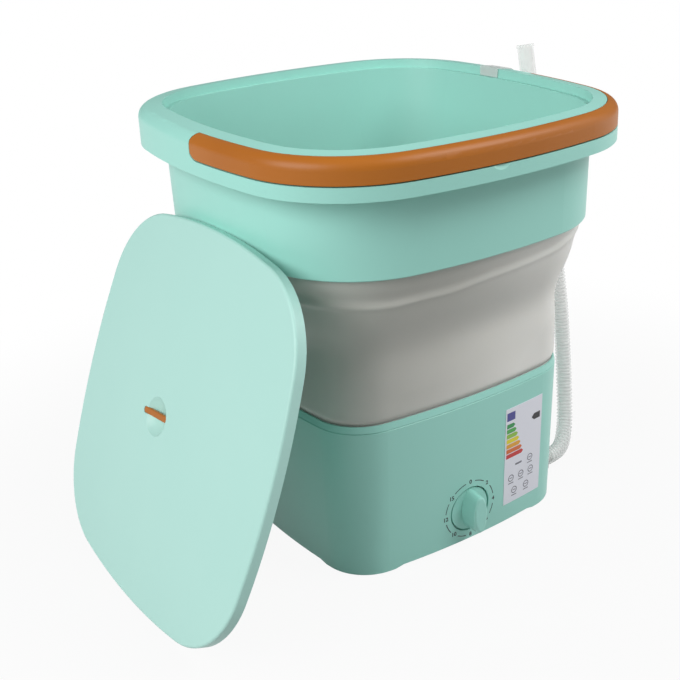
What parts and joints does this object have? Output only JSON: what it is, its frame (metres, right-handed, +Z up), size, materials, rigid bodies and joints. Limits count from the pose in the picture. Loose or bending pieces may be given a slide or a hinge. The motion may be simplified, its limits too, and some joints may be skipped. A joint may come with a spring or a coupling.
{
  "type": "foldable washing machine",
  "caption": "Small portable washing machine: a tub that folds down on a soft bellows, with a bail handle, loose lid, dial, pulsator and ribbed drain hose.",
  "frame": {"origin": "middle of the set's bounding box, on the floor", "axes": "+Z up, the dial faces -Y, the lid leans at -X and the drain hose hangs at +X"},
  "size_m": [0.5244, 0.396, 0.4379],
  "materials": {
    "mint_plastic": "satin moulded polypropylene",
    "brown_plastic": "satin moulded polypropylene",
    "grey_silicone": "translucent warm grey, soft",
    "clear_hose": "translucent white, ribbed",
    "white_plastic": "satin",
    "dark_plastic": "fine grain",
    "black_rubber": "matt",
    "steel": "turned or pressed",
    "zinc_sheet": "zinc grey",
    "can_aluminium": "drawn",
    "label_film": "printed film"
  },
  "bodies": {
    "upper_tub": {"upper_tub": "mint_plastic", "handle_pins": "steel", "bellows_upper_ring": "mint_plastic", "bellows": "grey_silicone", "hose_clip": "clear_hose", "hose_cuff": "clear_hose", "drain_hose": "clear_hose"},
    "base": {"base_housing": "mint_plastic", "base_top_ring": "mint_plastic", "bottom_cover": "white_plastic", "cover_screws": "steel", "rubber_feet": "black_rubber", "wash_basin": "mint_plastic", "bearing_housing": "dark_plastic", "bearing_housing_screws": "steel", "shaft_bearings": "steel", "shaft_seal": "black_rubber", "drive_belt": "black_rubber", "motor_body": "zinc_sheet", "motor_bracket": "zinc_sheet", "motor_screws": "steel", "motor_capacitor": "can_aluminium", "timer_body": "dark_plastic", "front_label": "label_film", "drain_grate": "white_plastic", "drain_pipe": "white_plastic", "spout_nut": "white_plastic", "power_inlet": "dark_plastic"},
    "handle": {"handle": "brown_plastic"},
    "lid": {"lid_panel": "mint_plastic", "lid_back": "mint_plastic", "lid_grip": "brown_plastic"},
    "knob": {"program_knob": "mint_plastic", "timer_shaft": "steel"},
    "pulsator": {"pulsator": "white_plastic", "pulsator_shaft": "steel", "pulsator_screw": "steel", "driven_pulley": "dark_plastic"},
    "motor_rotor": {"motor_shaft": "steel", "motor_pulley": "dark_plastic"}
  },
  "joints": [
    {"name": "tub_fold", "type": "slide", "parent": "upper_tub", "child": "base", "axis": [0, 0, 1], "range_m": [0, 0.13], "deforming": ["bellows", "drain_hose"]},
    {"name": "handle_swing", "type": "hinge", "parent": "upper_tub", "child": "handle", "pos_m": [0.04464, -0.0195, 0.4052], "axis": [-1, 0, 0], "range_deg": [0, 90]},
    {"name": "lid_lift_off", "type": "slide", "parent": "upper_tub", "child": "lid", "axis": [-0.9367, 0, 0.3502], "range_m": [0, 0.2]},
    {"name": "dial_turn", "type": "hinge", "parent": "base", "child": "knob", "pos_m": [0.04334, -0.14023, 0.036], "axis": [0, 1, 0], "range_deg": [0, 300]},
    {"name": "pulsator_spin", "type": "hinge", "parent": "base", "child": "pulsator", "pos_m": [0.04464, 0, 0.089], "axis": [0, 0, 1], "continuous": true},
    {"name": "motor_spin", "type": "hinge", "parent": "base", "child": "motor_rotor", "pos_m": [0.04464, 0.082, 0.013], "axis": [0, 0, 1], "continuous": true}
  ],
  "couplings": [
    {"joint": "motor_spin", "follows": "pulsator_spin", "ratio": 3.75}
  ]
}
